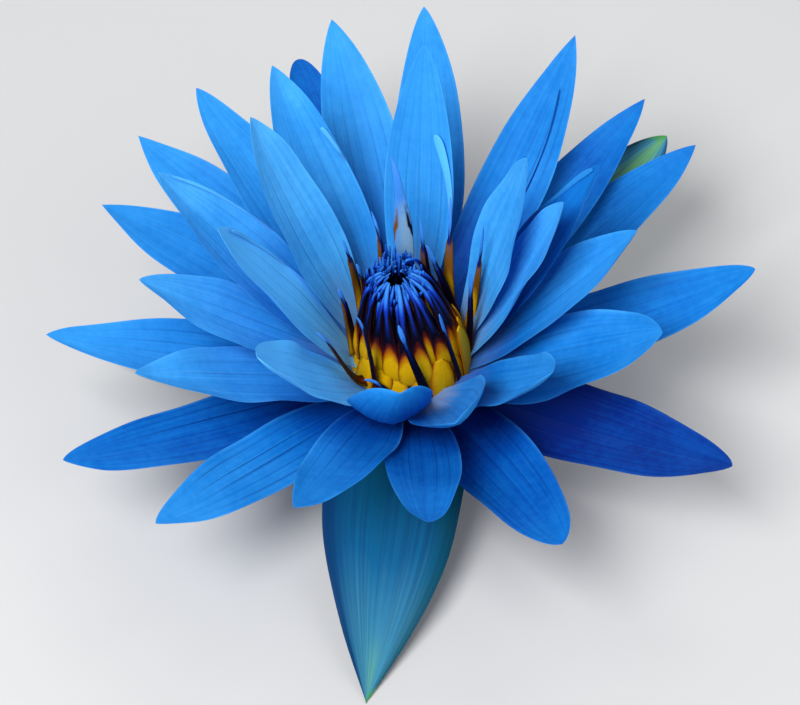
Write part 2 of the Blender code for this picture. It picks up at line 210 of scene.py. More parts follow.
INNER_PETALS = [
    Blade(4, 60, 62, 15.5, bend=12, cup=0.3, pale=0.6, tone=0.7),
    Blade(69, 75, 52, 16, lift=1.5, bend=12, cup=0.3, widest=0.5, pale=1.0, tone=0.8),
    Blade(86, 67, 50, 15, lift=0.5, bend=12, cup=0.3, widest=0.5, pale=0.6, tone=0.8),
    Blade(
        168.4, 43.3, 41.3, 19, lift=0.9, lead=-3, bend=25, sweep=30, roll=22.6, cup=0.46, tip=0.59,
        widest=0.5, root_share=0.43, ripple=0.1, pale=1.5, tone=0.55,
    ),
    Blade(
        186, 52.6, 36.6, 18.5, lift=0.9, lead=-6, bend=66, sweep=-44, roll=9, cup=0.55, tip=0.37,
        widest=0.59, root_share=0.49, ripple=0.1, pale=0.6, tone=0.5,
    ),
    Blade(227, 49, 47, 17, lift=0.15, roll=-14, bend=20, cup=0.3, tip=0.55, pale=0.5, tone=0.95),
    Blade(265, 58, 53, 17, lift=0.8, bend=12, cup=0.3, pale=0.5, tone=1.0),
    Blade(302, 62, 59, 16.5, lift=1.1, bend=12, cup=0.3, pale=0.6, tone=0.85),
]
SEPALS = {
    "sepal_front": Blade(
        186.7, -11.1, 68.1, 31.2, lead=0.4, bend=-8, sweep=2, roll=-1, cup=0.15, tip=1.1, widest=0.2,
        root_share=0.47, crease=0.3,
    ),
    "sepal_right": Blade(47.5, 17, 71.5, 24, cup=0.1, tip=0.75, widest=0.4, crease=0.3, pale=1.0),
    "sepal_left": Blade(281, -6, 62, 21, bend=-6, cup=0.2, tip=0.95, widest=0.4, crease=0.3),
    "sepal_back": Blade(350, -9, 66, 26, bend=-6, cup=0.2, tip=0.95, widest=0.4, crease=0.3),
}


@dataclass
class Fold:
    """A stretch of a petal's rim that is folded in.

    Its start and end are shares of the petal's length, and its widths and offsets are in millimetres.
    """

    side: int  # 1 on the clockwise rim and -1 on the other
    start: float
    end: float
    start_width: float
    end_width: float
    start_offset: float  # of its middle, inwards of the rim
    end_offset: float
    # Painted highlight on the fold, added to the petal's lightness; below 0 it is painted shade.
    painted_light: float = 0.5
    raised: float = 1.0  # height over the face, per the usual height


FOLDS = {
    "petal_inner_01": [Fold(1, 0.36, 0.67, 0.8, 2.6, 0.4, 3.0)],
    "petal_inner_07": [Fold(1, 0.5, 0.93, 0.4, 1.0, 0.3, 0.7, painted_light=0.3)],
    "petal_middle_01": [Fold(-1, 0.55, 0.96, 0.4, 1.6, 0.2, 0.7, painted_light=0.2, raised=0.3)],
    "petal_middle_07": [Fold(1, 0.5, 0.95, 0.3, 0.9, 0.3, 0.6, painted_light=0.25)],
    "petal_middle_08": [Fold(1, 0.58, 0.73, 0.5, 1.3, 0.4, 1.2, painted_light=0.3)],
    "petal_outer_02": [Fold(1, 0.45, 0.82, 0.3, 0.45, 4.6, 3.4, painted_light=-0.35, raised=0.8)],
}


@dataclass
class Stamen:
    """An outer stamen. Angles are in degrees and lengths in millimetres."""

    azimuth: float  # of the root, clockwise from the back
    tip_azimuth: float
    reach: float  # of the tip from the bloom's axis
    height: float  # of the tip above the receptacle
    width: float = 2.6
    gold: float = 1.0  # 1 where the side that faces the axis is golden, and 0 where it is dark
    tip: float = 0.36  # share of the length that is the thin tip
    tip_width: float = 0.28  # of the thin tip, per width
    bow: float = 1.5  # over 1 leans the strap out late, and under 1 early
    straight: float = 0.0  # 0 makes an arc and 1 a straight line
    base: float = 12.6  # of the root from the bloom's axis
    foot: float = 0.0  # of the root above the receptacle
    turned: float = 0.0  # of the flat side about the strap
    cream: float = 0.0  # 1 makes it a pale strap that is half a petal


RING_STAMENS = [
    Stamen(46, 24, 22, 28, width=2.8, tip=0.34, bow=1.9, straight=0.6, turned=-30),
    Stamen(72, 60, 18.5, 30.5, width=2.1, tip=0.34, bow=0.7, straight=0.85, base=13.0, turned=-40),
    Stamen(
        93, 76, 13.6, 22, width=2.2, gold=0.1, tip=0.32, tip_width=0.5, bow=0.5, straight=0.7, base=13.0,
        turned=-60,
    ),
    Stamen(
        64, 20, 10.4, 23.5, width=2.8, gold=0.15, tip=0.24, tip_width=0.42, bow=1.0, straight=1.0,
        base=12.4, turned=-50,
    ),
    Stamen(22, 8, 16.2, 25, width=2.8, gold=0.62, tip=0.28, bow=3.0, straight=0.75),
    Stamen(328, 335, 20.5, 25, width=2.4, gold=0.5, tip=0.3, tip_width=0.32, bow=3.0, straight=0.05),
    Stamen(305.5, 306, 18.6, 24, width=2.9, gold=0.65, tip=0.3, straight=0.4, bow=1.0),
    Stamen(
        304, 301.5, 14, 20, width=2.4, gold=0.2, tip=0.28, tip_width=0.45, bow=3.0, straight=0.45,
        base=12.2,
    ),
    Stamen(263, 263, 15.9, 22, gold=0.3, tip=0.31, tip_width=0.4, bow=1.0, straight=0.3, turned=55),
    Stamen(
        213, 230.5, 15, 21.5, width=2.6, gold=0.0, tip=0.24, tip_width=0.48, turned=25, bow=2.8,
        straight=0.5, base=13.6, foot=-2.5,
    ),
    Stamen(
        228.5, 241, 23.3, 18.5, width=2.6, gold=0.1, tip=0.38, tip_width=0.34, turned=35, bow=0.5,
        straight=0.16, base=13.0, foot=-1.0,
    ),
    Stamen(
        162, 193, 11.7, 21, width=2.3, gold=0.0, tip=0.24, tip_width=0.5, bow=3.0, straight=0.7, base=13.6,
        foot=-2.5,
    ),
    Stamen(
        124.5, 147, 11.4, 22.5, width=2.6, gold=0.0, tip=0.26, tip_width=0.46, turned=-20, bow=1.3,
        straight=1.0, base=13.6, foot=-2.5,
    ),
    Stamen(
        191.5, 220.5, 15.8, 3.2, width=2.0, gold=0.1, tip=0.42, tip_width=0.5, bow=3.0, base=13.6,
        foot=-3.5,
    ),
    Stamen(357, 349, 24, 38, width=4.4, cream=1.0, base=12.0, foot=0.6),
]


def length(name, description, default):
    """A property that holds a length, shown in the scene's units."""
    return bpy.props.FloatProperty(
        name=name, description=description, default=default, min=0.0, unit="LENGTH", precision=5
    )


def colour(name, description, default):
    """A property that holds a linear colour."""
    return bpy.props.FloatVectorProperty(
        name=name, description=description, default=default, size=3, min=0.0, max=1.0, subtype="COLOR"
    )


def share(name, description, default):
    """A property that holds a share from 0 to 1."""
    return bpy.props.FloatProperty(
        name=name, description=description, default=default, min=0.0, max=1.0, subtype="FACTOR"
    )


class LilyBladeSizes(bpy.types.PropertyGroup):
    petal_thickness: length("Petal thickness", "Thickness of a petal along its midrib", 0.55 * MM)
    sepal_thickness: length("Sepal thickness", "Thickness of a sepal along its midrib", 0.85 * MM)
    pleat_depth: length("Pleat depth", "Depth of the long shallow pleats", 0.07 * MM)
    ripple: length("Edge ripple", "How far the edges wave up and down", 0.5 * MM)
    edge_share: share("Edge thickness", "Thickness at the edge, per thickness at the midrib", 0.4)


class LilyPetalColours(bpy.types.PropertyGroup):
    deepest: colour("Deepest blue", "Shaded petals at the root, and the veins", (0.0, 0.014, 0.16))
    deep: colour("Deep blue", "A deep petal", (0.0, 0.065, 0.34))
    middle: colour("Middle blue", "A petal of middling tone", (0.006, 0.165, 0.53))
    light: colour("Light blue", "A light petal", (0.03, 0.28, 0.7))
    # The lightest blue is also painted as a highlight on the petals' rims.
    lightest: colour("Lightest blue", "Tips, rims and folds of light petals", (0.085, 0.44, 0.9))
    root_blush: colour("Root blush", "The grey lilac at the root of the inner petals", (0.165, 0.27, 0.53))


class LilySepalColours(bpy.types.PropertyGroup):
    root: colour("Sepal root", "Sepals at the root", (0.0, 0.07, 0.135))
    middle: colour("Sepal middle", "Sepals at half their length", (0.002, 0.1, 0.24))
    tip: colour("Sepal tip", "Sepals at the tip", (0.04, 0.22, 0.33))
    edge: colour("Sepal edge", "The green teal along one edge", (0.0, 0.05, 0.075))
    other_edge: colour("Other sepal edge", "The deep blue along the other edge", (0.0, 0.028, 0.11))
    pale: colour("Sepal stripe", "The pale green stripe of a turned sepal", (0.1, 0.3, 0.14))
    point: colour("Sepal point", "The green at the very tip", (0.05, 0.25, 0.03))
    line: colour("Sepal line", "The dark lines along a sepal", (0.0, 0.03, 0.1))


class LilyStamenLook(bpy.types.PropertyGroup):
    yellow: colour("Yellow", "The flat base of a stamen", (0.55, 0.31, 0.0))
    gold: colour("Gold", "The pollen side of an outer stamen", (0.15, 0.06, 0.004))
    orange: colour("Orange", "Where yellow starts to turn dark", (0.35, 0.09, 0.0))
    red: colour("Red", "Where orange turns to violet", (0.075, 0.005, 0.003))
    violet: colour("Violet", "The dark back of a stamen", (0.0005, 0.0003, 0.006))
    purple: colour("Purple", "Between the dark backs and the tips", (0.003, 0.03, 0.36))
    blue: colour("Tip blue", "The tips", (0.018, 0.15, 0.58))
    pale: colour("Pale tip blue", "The thin tips of the outer stamens", (0.035, 0.2, 0.62))
    cream: colour("Cream", "The pale strap behind the crater", (0.17, 0.32, 0.48))


class LilyStage(bpy.types.PropertyGroup):
    elevation: bpy.props.FloatProperty(
        name="Elevation",
        description="Height of the view above the horizon",
        default=math.radians(50),
        subtype="ANGLE",
    )
    distance: length("Distance", "From the bloom to the camera", 620 * MM)
    shift_right: length("View shift", "How far the bloom lies right of the picture's middle", 2.28 * MM)
    shift_up: length("View rise", "How far the camera lies above the bloom's line", 4.44 * MM)
    lens: bpy.props.FloatProperty(
        name="Lens", description="Focal length on a 36 mm film", default=122.6, unit="CAMERA"
    )
    floor: colour("Floor", "The plain pale floor", (0.5, 0.5, 0.5))


class Wire:
    """One output socket, which takes part in sums as a number would."""

    def __init__(self, net, socket):
        self.net = net
        self.socket = socket

    def maths(self, operation, *others):
        return self.net.node("ShaderNodeMath", {"operation": operation}, dict(enumerate((self, *others))))

    def __add__(self, other):
        return self.maths("ADD", other)

    def __sub__(self, other):
        return self.maths("SUBTRACT", other)

    def __mul__(self, other):
        return self.maths("MULTIPLY", other)

    def __rsub__(self, other):
        return self.net.node("ShaderNodeMath", {"operation": "SUBTRACT"}, {0: other, 1: self})

    def __neg__(self):
        return self * -1.0

    def at_least(self, low):
        return self.maths("MAXIMUM", low)

    def at_most(self, high):
        return self.maths("MINIMUM", high)

    def magnitude(self):
        return self.maths("ABSOLUTE")

    __radd__ = __add__
    __rmul__ = __mul__


class Net:
    """The nodes of one material."""

    def __init__(self, name):
        self.material = bpy.data.materials.new(name)
        self.material.use_nodes = True
        self.tree = self.material.node_tree
        self.shader = self.tree.nodes["Principled BSDF"]

    def node(self, kind, settings=None, sockets=None, out=0):
        """Adds a node, sets it up, gives its sockets values or links and returns one output."""
        made = self.tree.nodes.new(kind)
        for key, value in (settings or {}).items():
            if key == "stops":
                self.set_stops(made.color_ramp, value)
            else:
                setattr(made, key, value)
        for key, value in (sockets or {}).items():
            self.feed(made.inputs[key], value)
        return Wire(self, made.outputs[out])

    def feed(self, socket, value):
        if isinstance(value, Wire):
            self.tree.links.new(value.socket, socket)
        else:
            socket.default_value = value

    def set_stops(self, ramp, stops):
        while len(ramp.elements) < len(stops):
            ramp.elements.new(1.0)
        for element, (position, value) in zip(ramp.elements, stops):
            element.position = position
            element.color = (*value, 1.0)

    def ramp(self, factor, stops):
        return self.node("ShaderNodeValToRGB", {"stops": stops}, {"Fac": factor})

    def smooth(self, value, low, high):
        """0 below low, 1 above high and an S curve between."""
        sockets = {"Value": value, "From Min": low, "From Max": high}
        return self.node("ShaderNodeMapRange", {"interpolation_type": "SMOOTHSTEP"}, sockets)

    def fading(self, value, low, high):
        """1 below low, 0 above high and an S curve between."""
        return 1.0 - self.smooth(value, low, high)

    def mix(self, first, second, factor):
        """A colour between two colours."""
        pair = [value if isinstance(value, Wire) else (*value, 1.0) for value in (first, second)]
        return self.node("ShaderNodeMix", {"data_type": "RGBA"}, {0: factor, 6: pair[0], 7: pair[1]}, out=2)

    def noise(self, place, scale, detail=2.0):
        """Cloudy noise about 0, from -0.5 to 0.5."""
        return self.node("ShaderNodeTexNoise", {}, {"Vector": place, "Scale": scale, "Detail": detail}) - 0.5

    def vector(self, *parts):
        return self.node("ShaderNodeCombineXYZ", {}, dict(enumerate(parts)))

    def lines(self, across, count, width):
        """1 on each of count thin lines across the blade, and 0 between them."""
        wave = self.node("ShaderNodeMath", {"operation": "PINGPONG"}, {0: across * count, 1: 0.5})
        return self.fading(wave, 0.0, width)

    def value(self, name):
        """A number that the mesh holds for each point."""
        return self.node("ShaderNodeAttribute", {"attribute_name": name}, out="Fac")

    def place(self):
        return self.node("ShaderNodeTexCoord", out="Object")

    def blade_place(self):
        """Where a point lies across and along its blade, each from 0 to 1, by the blade's own map."""
        held = self.node("ShaderNodeUVMap", {"uv_map": "blade"})
        across = self.node("ShaderNodeSeparateXYZ", {}, {0: held})
        return across, Wire(self, across.socket.node.outputs[1])

    def bump(self, height, strength, distance):
        sockets = {"Height": height, "Strength": strength, "Distance": distance}
        self.feed(self.shader.inputs["Normal"], self.node("ShaderNodeBump", {}, sockets))

    def finish(self, base, roughness, specular=0.5):
        """Feeds the shader and returns the material."""
        self.feed(self.shader.inputs["Base Color"], base)
        self.feed(self.shader.inputs["Roughness"], roughness)
        self.shader.inputs["Specular IOR Level"].default_value = specular
        return self.material


def circle(around):
    """Angles of evenly spaced places round a ring."""
    return 2.0 * math.pi * np.arange(around) / around


def unit(vectors):
    return vectors / np.linalg.norm(vectors, axis=-1, keepdims=True)


def skins_mesh(name, rings, values, uv=None):
    """One mesh of closed skins.

    rings holds skins by rows by places round by xyz. Neighbouring rings are joined by quads, and each end is
    closed by a fan to the middle of its ring. values holds a number for each of those points under each name.
    """
    skins, rows, around, _ = rings.shape
    count = rows * around
    ends = rings[:, [0, -1]].mean(axis=2)
    points = np.concatenate([rings.reshape(skins, count, 3), ends], axis=1)
    row, step = np.meshgrid(np.arange(rows - 1), np.arange(around), indexing="ij")
    after = (step + 1) % around
    low, high = row * around, (row + 1) * around
    quads = np.stack([low + step, low + after, high + after, high + step], -1).reshape(-1, 4)
    step, after, last = step[0], after[0], (rows - 1) * around
    first_cap = np.stack([after, step, np.full(around, count)], -1)
    last_cap = np.stack([last + step, last + after, np.full(around, count + 1)], -1)
    caps = np.concatenate([first_cap, last_cap])
    corners = rings[0, rows // 2]
    spine = rings[0, -1].mean(axis=0) - rings[0, 0].mean(axis=0)
    normal = np.cross(corners, np.roll(corners, -1, axis=0)).sum(axis=0)
    if normal @ spine < 0:
        quads, caps = quads[:, ::-1], caps[:, ::-1]
    start = (np.arange(skins) * (count + 2))[:, None, None]
    faces = (quads + start).reshape(-1, 4).tolist() + (caps + start).reshape(-1, 3).tolist()
    mesh = bpy.data.meshes.new(name)
    mesh.from_pydata(points.reshape(-1, 3).tolist(), [], faces)
    for key, grid in values.items():
        grid = np.broadcast_to(grid, (skins, rows, around))
        held = np.concatenate([grid.reshape(skins, count), grid[:, [0, -1]].mean(axis=2)], axis=1)
        mesh.attributes.new(key, "FLOAT", "POINT").data.foreach_set("value", held.astype(np.float32).ravel())
    if uv is not None:
        add_uv(mesh, uv, count)
    mesh.shade_smooth()
    return mesh


def add_uv(mesh, uv, count):
    """A map whose first number runs across the blade and whose second runs along it."""
    ends = np.broadcast_to([[0.5, 0.0], [0.5, 1.0]], (len(uv), 2, 2))
    held = np.concatenate([uv.reshape(len(uv), count, 2), ends], axis=1).reshape(-1, 2)
    corner = np.empty(len(mesh.loops), np.int32)
    mesh.loops.foreach_get("vertex_index", corner)
    mesh.uv_layers.new(name="blade").data.foreach_set("uv", held[corner].astype(np.float32).ravel())


def add_object(name, data):
    """A new object in the scene."""
    made = bpy.data.objects.new(name, data)
    bpy.context.scene.collection.objects.link(made)
    return made


def add_piece(name, mesh, material, slot, *nodes):
    """A finished piece that stands for its CAD nodes and rides on the flower's one body."""
    mesh.materials.append(material)
    piece = add_object(name, mesh)
    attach(piece, "root")
    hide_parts(*nodes)
    return piece


def rotation(axis, degrees):
    """Matrix of a turn about X (0), Y (1) or Z (2)."""
    matrix = np.eye(3)
    first, second = ((1, 2), (2, 0), (0, 1))[axis]
    cosine, sine = math.cos(math.radians(degrees)), math.sin(math.radians(degrees))
    matrix[first, first] = matrix[second, second] = cosine
    matrix[first, second] = -sine
    matrix[second, first] = sine
    return matrix


def half_width(blade, s):
    """Half the blade's width at s: a quarter sine up to the widest place, then a superellipse to the tip."""
    swell = np.sin(0.5 * math.pi * np.minimum(s / blade.widest, 1.0))
    grown = blade.root_share + (1.0 - blade.root_share) * swell
    towards_tip = np.clip((s - blade.widest) / (1.0 - blade.widest), 0.0, 1.0)
    closed = (1.0 - towards_tip**TIP_CLOSING) ** blade.tip
    return np.maximum(0.5 * blade.width * MM * grown * closed, LEAST_HALF_WIDTH)


def midrib(blade, s):
    """Points and directions of the midrib, which leaves the root along +Y and turns by bend and sweep."""
    fine = np.linspace(0.0, 1.0, MIDRIB_STEPS + 1)
    slope = np.radians(blade.bend * (fine - 0.5))
    heading = np.radians(blade.sweep * (fine - 0.5))
    along = np.stack([np.cos(slope) * np.sin(heading), np.cos(slope) * np.cos(heading), np.sin(slope)], 1)
    steps = 0.5 * (along[1:] + along[:-1]) * blade.length * MM / MIDRIB_STEPS
    line = np.concatenate([[[0.0, 0.0, 0.0]], np.cumsum(steps, axis=0)])
    points = np.stack([np.interp(s, fine, line[:, axis]) for axis in range(3)], 1)
    directions = np.stack([np.interp(s, fine, along[:, axis]) for axis in range(3)], 1)
    return points, directions, np.interp(s, fine, heading)


def fine_height(blade, s, across, half, sizes, phases):
    """Small heights over the cup: a groove on the midrib, cosine pleats, sine ripples and an upturned tip.

    The groove and the pleats fade at both ends. The ripples grow with the square of the place across, and
    are smaller where the blade is narrow.
    """
    body = np.sin(math.pi * np.clip(s * 0.9 + 0.05, 0.0, 1.0))
    groove = blade.crease * MM * np.exp(-((across / GROOVE_WIDTH) ** 2)) * body
    pleats = np.cos(2.0 * math.pi * PLEATS * across + phases[0]) * body * (1.0 - across**4)
    waves = np.sin(2.0 * math.pi * (RIPPLES[0] * s + 0.25 * across) + phases[1])
    waves += 0.5 * np.sin(2.0 * math.pi * RIPPLES[1] * s + phases[2])
    grown = across**2 * np.minimum(half / (4.0 * MM), 1.0) * np.clip(s * 3.0 - 0.5, 0.0, 1.0)
    upturn = UPTURN * np.clip((s - UPTURN_START) / (1.0 - UPTURN_START), 0.0, 1.0) ** 2
    return sizes.pleat_depth * pleats - groove + blade.ripple * sizes.ripple * waves * grown + upturn


def blade_rings(blade, thickness, sizes, draw):
    """Closed skin of a blade as rings, with its places across (-1 to 1) and along (0 to 1).

    The middle surface is the midrib plus the half width sideways plus a height, which adds the cup (square
    of the place across) and the small heights. Each ring is a flattened superellipse about that surface.
    """
    s = (1.0 - (1.0 - np.linspace(0.0, 1.0, BLADE_ROWS)) ** ROW_CROWDING)[:, None]
    turn = circle(BLADE_AROUND)
    across = np.cos(turn) + 0.0 * s
    face = np.sign(np.sin(turn)) * np.abs(np.sin(turn)) ** SECTION_POWER
    points, directions, heading = midrib(blade, s[:, 0])
    side = np.stack([np.cos(heading), -np.sin(heading), np.zeros_like(heading)], 1)[:, None]
    up = np.cross(side, directions[:, None])
    phases = draw.uniform(0.0, 2.0 * math.pi, 4)
    half = half_width(blade, s)
    wobble = 1.0 + 0.02 * np.sin(2.0 * math.pi * 1.7 * s + phases[0] + across) * np.minimum(6.0 * s, 1.0)
    cup = blade.root_cup + (blade.cup - blade.root_cup) * np.clip(s / CUP_REACH, 0.0, 1.0)
    height = half * cup * across**2 + fine_height(blade, s, across, half, sizes, phases[1:])
    middle = points[:, None] + side * (half * wobble * across)[..., None] + up * height[..., None]
    sideways = side + up * (2.0 * cup * across)[..., None]
    normal = unit(np.cross(sideways, np.gradient(middle, axis=0)))
    thin = sizes.edge_share + (1.0 - sizes.edge_share) * (1.0 - across**2)
    depth = 0.5 * thickness * thin * (1.0 - TIP_THINNING * s) * np.minimum(half / (0.8 * MM), 1.0)
    local = middle + normal * (depth * face)[..., None]
    turned = rotation(2, -blade.azimuth) @ rotation(0, blade.rise) @ rotation(1, blade.roll)
    return local @ turned.T, across, s + 0.0 * across


def blade_mesh(name, blade, root_height, thickness, sizes, number, folds=()):
    """The blade's skin set at its root, with a foot in the receptacle and the numbers its finish reads."""
    draw = np.random.default_rng(number)
    rings, across, along = blade_rings(blade, thickness, sizes, draw)
    root = math.radians(blade.azimuth + blade.lead)
    outward = np.array([math.sin(root), math.cos(root), 0.0])
    rings = rings + BLOOM + ROOT_RADIUS * outward + np.array([0.0, 0.0, root_height])
    foot = rings[:1] - (FOOT_STEPS * (outward + np.array([0.0, 0.0, FOOT_SLOPE])))[:, None]
    rings = np.concatenate([foot, rings])
    across, along = (
        np.concatenate([np.repeat(grid[:1], len(foot), axis=0), grid]) for grid in (across, along)
    )
    uv = np.stack([0.5 * (across + 1.0), along], -1)
    skins = [rings] + [folded_rim(rings, along[:, 0], fold) for fold in folds]
    values = {
        # Each fold skin gets the petal's lightness plus its painted highlight or shade.
        "tone": blade.tone + np.array([0.0] + [fold.painted_light for fold in folds])[:, None, None],
        "veins": blade.veins,
        "blush": blade.pale,
        "seed": number * 0.37,
    }
    return skins_mesh(name, np.stack(skins), values, np.stack([uv] * len(skins)))


def folded_rim(rings, along, fold):
    """A flattened roll over the inner face that follows the blade's rim from the fold's start to its end.

    Its middle lies inwards of the rim by a distance that changes from end to end, as its width does.
    """
    rows, around, _ = rings.shape
    share = np.linspace(0.0, 1.0, rows)
    place = fold.start + (fold.end - fold.start) * share
    edge_column, inner_column = (0, around // 8) if fold.side > 0 else (around // 2, 3 * around // 8)
    edge, inner = (
        np.stack([np.interp(place, along, rings[:, column, axis]) for axis in range(3)], 1)
        for column in (edge_column, inner_column)
    )
    inward = unit(inner - edge)
    normal = np.cross(unit(np.gradient(edge, axis=0)), inward) * fold.side
    taper = np.sqrt(1.0 - (2.0 * share - 1.0) ** 8)
    width = (fold.start_width + (fold.end_width - fold.start_width) * share) * taper
    offset = fold.start_offset + (fold.end_offset - fold.start_offset) * share**1.5
    raised = (0.3 + 0.8 * share**2) * fold.raised
    middle = edge + inward * (offset * MM)[:, None] + normal * (raised * MM)[:, None]
    turn = circle(around)
    wide = inward[:, None] * (0.5 * MM * np.maximum(width, 0.05)[:, None] * np.cos(turn))[..., None]
    deep = normal[:, None] * (0.22 * MM * np.minimum(width, 1.0)[:, None] * np.sin(turn))[..., None]
    return middle[:, None] + wide + deep


def petal_finish(name, root_shade, tip_gain, colours):
    """Petal skin: blues led by each petal's lightness, which holds its own colour and painted light and
    shade, painted shade towards the root, a blush at the root, painted highlights on the rims and dark veins.
    """
    net = Net(name)
    spread, along = net.blade_place()
    edge = (spread * 2.0 - 1.0).magnitude()
    place, seed, tone = net.place(), net.value("seed"), net.value("tone")
    cloud = net.noise(place, 60.0, 3.0)
    mottle = net.noise(place, 620.0, 3.0)
    streak = net.noise(net.vector(spread * 26.0, along * 1.6, seed * 9.0), 1.0, 4.0)
    sway = net.noise(net.vector(spread * 6.0, along * 0.7, seed * 5.0), 1.0)

    # Painted shade: darker towards the root, where the petals overlap; lighter towards the tip.
    run = (net.smooth(along, 0.0, 0.55) - 1.0) * root_shade + net.smooth(along, 0.45, 1.0) * tip_gain
    # The petal's lightness here is its own colour together with painted light and shade, plus streaks and
    # mottling.
    shade = tone + run + streak * 0.25 + cloud * 0.3 + mottle * 0.15
    blues = (colours.deepest, colours.deep, colours.middle, colours.light, colours.lightest)
    base = net.ramp(shade, [(0.25 * number, blue) for number, blue in enumerate(blues)])
    blush = net.value("blush") * net.fading(along + edge * 0.1 + streak * 0.25, 0.03, 0.36)
    base = net.mix(base, colours.root_blush, blush.at_most(1.0))
    # Painted highlight: the rims are mixed towards the lightest blue, more on lighter petals.
    rim = net.smooth(edge, 0.9, 1.0) * (cloud * 1.5 + 0.35).at_least(0.0) * tone
    base = net.mix(base, colours.lightest, rim.at_most(1.0))

    fade = net.smooth(along, 0.02, 0.12) * net.fading(along, 0.55, 0.98) * net.fading(edge, 0.85, 0.98)
    main = net.lines(spread + sway * 0.1 + cloud * 0.012, MAIN_VEINS, 0.13)
    fine = net.lines(spread + sway * 0.05 + cloud * 0.008, FINE_VEINS, 0.3)
    vein = (main * 0.65 + fine * 0.12) * fade * (streak * 4.0 + 0.7).at_least(0.0)
    base = net.mix(base, colours.deepest, (vein * net.value("veins")).at_most(0.85))
    net.bump(vein * -0.6 + streak * 0.4 + mottle * 0.15, 0.6, 0.0003)
    return net.finish(base, streak * 0.12 + 0.55, specular=0.08)


def sepal_finish(colours):
    """Sepal skin: teal blue with uneven dark and light stripes along it, darker edges and a green tip."""
    net = Net("sepal")
    spread, along = net.blade_place()
    edge = (spread * 2.0 - 1.0).magnitude()
    seed = net.value("seed")
    cloud = net.noise(net.place(), 60.0, 3.0)
    broad = net.noise(net.vector(spread * 17.0, along * 0.9, seed * 5.0), 1.0, 1.0)
    streak = net.noise(net.vector(spread * 44.0, along * 1.3, seed * 9.0), 1.0, 3.0)

    run = ((0.0, colours.root), (0.5, colours.middle), (0.93, colours.tip))
    base = net.ramp(along + cloud * 0.15 + broad * 0.35, run)
    sides = net.mix(colours.edge, colours.other_edge, net.smooth(spread, 0.3, 0.7))
    base = net.mix(base, sides, net.smooth(edge + streak * 0.2, 0.45, 1.05))
    pale = net.value("blush") * net.fading(edge + streak * 0.3, 0.05, 0.6) * net.smooth(along, 0.2, 0.6)
    base = net.mix(base, colours.pale, pale)
    near_tip = net.smooth(along, 0.72, 0.95) * net.fading(edge + streak * 0.5, 0.0, 0.5)
    base = net.mix(base, colours.pale, near_tip * 0.5)
    point = net.smooth(along - spread * 0.06 + streak * 0.06, 0.93, 0.97)
    base = net.mix(base, colours.point, point * 0.9)

    line = net.lines(spread + broad * 0.04 + cloud * 0.008, SEPAL_LINES, 0.5) * net.fading(along, 0.6, 0.95)
    line = line * (streak * 2.0 + 0.7).at_least(0.0)
    dark = line * 0.15 + broad * 1.3 + streak * 1.1 + 0.1
    base = net.mix(base, colours.line, dark.at_most(0.8).at_least(0.0))
    net.bump(line * -0.3 + broad + streak * 0.4, 0.4, 0.0003)
    return net.finish(base, streak * 0.1 + 0.5, specular=0.15)


def stamen_finish(name, look, back, front):
    """Stamen skin: a run of colours from root to tip, another on a golden inner side, dark red edges and
    orange painted shade along the edges low down.
    """
    net = Net(name)
    place = net.place()
    across = net.value("across")
    off_middle = across.magnitude()
    along = net.value("along")
    curve = across * across * (net.smooth(along, 0.4, 0.7) * -0.22 + 0.11)
    along = along + curve + net.noise(place, 400.0) * 0.07
    grain = net.noise(place, 1500.0, 3.0)

    inward = net.smooth(net.value("face") * -1.0, -0.1, 0.35)
    golden = net.smooth(net.value("gold") * 2.0 - 1.0 + across * 0.9, -0.25, 0.25)
    base = net.mix(net.ramp(along, back), net.ramp(along, front), inward * golden)
    core = net.fading(off_middle, 0.1, 0.6) * net.smooth(along, 0.46, 0.7) * net.fading(along, 0.7, 0.8)
    base = net.mix(base, look.purple, core * 0.6)
    edge = net.smooth(off_middle + grain * 0.2, 0.72, 1.0)
    middle_part = net.smooth(along, 0.05, 0.3) * net.fading(along, 0.45, 0.6)
    base = net.mix(base, look.red, edge * middle_part * 0.7)
    # Painted shade: orange along the edges low on each strap, between the scales.
    seam_shade = net.smooth(off_middle + grain * 0.2, 0.5, 1.0) * net.fading(along, 0.2, 0.3)
    base = net.mix(base, look.orange, seam_shade * 0.7)

    patch = net.smooth(along, 0.43, 0.47) * net.fading(along, 0.5, 0.55)
    strap = net.ramp(along, ((0.0, look.yellow), (0.2, look.cream), (0.46, look.cream), (0.6, look.pale)))
    strap = net.mix(strap, look.pale, net.smooth(across, -0.2, 1.0) * 0.6)
    strap = net.mix(strap, look.gold, patch * net.smooth(across, 0.3, 0.6))
    strap = net.mix(strap, look.violet, patch * net.smooth(-across, 0.4, 0.6))
    base = net.mix(base, strap, net.value("cream"))
    base = net.mix(base, (0.0, 0.0, 0.0), (grain * 0.4).at_least(0.0))
    net.bump(grain, 0.5, 0.0002)
    return net.finish(base, grain * 0.2 + 0.55, specular=0.1)


def stalk_finish():
    """Stalk and receptacle skin: green with a brown flush and fine upright lines."""
    net = Net("stalk")
    place = net.place()
    tall = net.node("ShaderNodeMapping", {}, {"Vector": place, "Scale": (1.0, 1.0, 0.12)})
    streak = net.noise(tall, 900.0, 3.0)
    cloud = net.noise(place, 120.0, 3.0)
    dark_green, green, brown = (0.05, 0.09, 0.02), (0.12, 0.18, 0.04), (0.2, 0.15, 0.07)
    base = net.ramp(cloud + streak * 0.5 + 0.5, ((0.25, dark_green), (0.6, green), (0.9, brown)))
    net.bump(streak + cloud * 0.5, 0.5, 0.0003)
    return net.finish(base, cloud * 0.15 + 0.42, specular=0.45)


